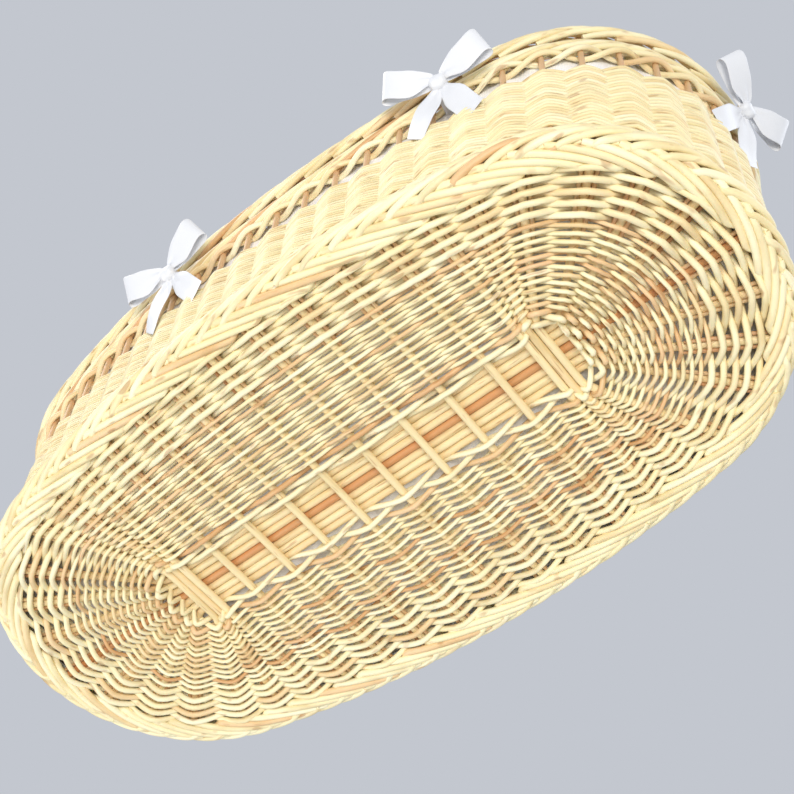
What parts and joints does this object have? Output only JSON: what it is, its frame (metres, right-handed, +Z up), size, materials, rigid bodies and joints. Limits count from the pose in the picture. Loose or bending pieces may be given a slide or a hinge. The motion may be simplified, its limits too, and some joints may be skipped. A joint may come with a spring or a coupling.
{
  "type": "moses basket",
  "caption": "Oval woven willow baby basket that widens upwards, with an open row under the border, a tied cotton lining with ribbon bows and a lift-out mattress.",
  "frame": {"origin": "under the middle of the basket, on the surface it stands on", "axes": "+X towards the deeper head end, +Y towards the basket's left side, +Z up"},
  "size_m": [0.8056, 0.4238, 0.25],
  "materials": {
    "white_willow": "peeled willow rod, satin",
    "buff_willow": "boiled buff willow rod, satin",
    "stripped_willow_stick": "stripped willow stick, satin",
    "lining_cotton": "plain-woven white cotton",
    "ribbon_satin": "white polyester satin ribbon",
    "mattress_ticking": "white quilted cotton ticking",
    "foam_core": "soft polyurethane foam"
  },
  "bodies": {
    "basket": {"base_liner_rod_1": "stripped_willow_stick", "base_liner_rod_2": "stripped_willow_stick", "base_liner_rod_3": "stripped_willow_stick", "base_liner_rod_4": "stripped_willow_stick", "base_liner_rod_5": "stripped_willow_stick", "base_liner_rod_6": "stripped_willow_stick", "base_liner_rod_7": "stripped_willow_stick", "base_weave": "white_willow", "border_inner": "buff_willow", "border_outer": "white_willow", "bow_knot_foot": "ribbon_satin", "bow_knot_head": "ribbon_satin", "bow_knot_left_foot": "ribbon_satin", "bow_knot_left_head": "ribbon_satin", "bow_knot_right_foot": "ribbon_satin", "bow_knot_right_head": "ribbon_satin", "bow_ribbon_foot": "ribbon_satin", "bow_ribbon_head": "ribbon_satin", "bow_ribbon_left_foot": "ribbon_satin", "bow_ribbon_left_head": "ribbon_satin", "bow_ribbon_right_foot": "ribbon_satin", "bow_ribbon_right_head": "ribbon_satin", "cross_stick_1": "stripped_willow_stick", "cross_stick_2": "stripped_willow_stick", "cross_stick_3": "stripped_willow_stick", "cross_stick_4": "stripped_willow_stick", "cross_stick_5": "stripped_willow_stick", "cross_stick_6": "stripped_willow_stick", "cross_stick_7": "stripped_willow_stick", "cross_stick_8": "stripped_willow_stick", "cross_stick_foot_1": "stripped_willow_stick", "cross_stick_foot_2": "stripped_willow_stick", "cross_stick_foot_3": "stripped_willow_stick", "cross_stick_head_1": "stripped_willow_stick", "cross_stick_head_2": "stripped_willow_stick", "cross_stick_head_3": "stripped_willow_stick", "fitch_rod_inner": "white_willow", "fitch_rod_outer": "white_willow", "foot_wale": "white_willow", "lining_floor": "lining_cotton", "lining_skirt": "lining_cotton", "rim_wale": "white_willow", "stakes_foot": "buff_willow", "stakes_head": "buff_willow", "stakes_left": "buff_willow", "stakes_right": "buff_willow", "wall_weave": "white_willow"},
    "mattress": {"mattress_cover": "mattress_ticking", "mattress_core": "foam_core"}
  },
  "joints": [
    {"name": "mattress_lift", "type": "slide", "parent": "basket", "child": "mattress", "axis": [0, 0, 1], "range_m": [0, 0.3]}
  ]
}
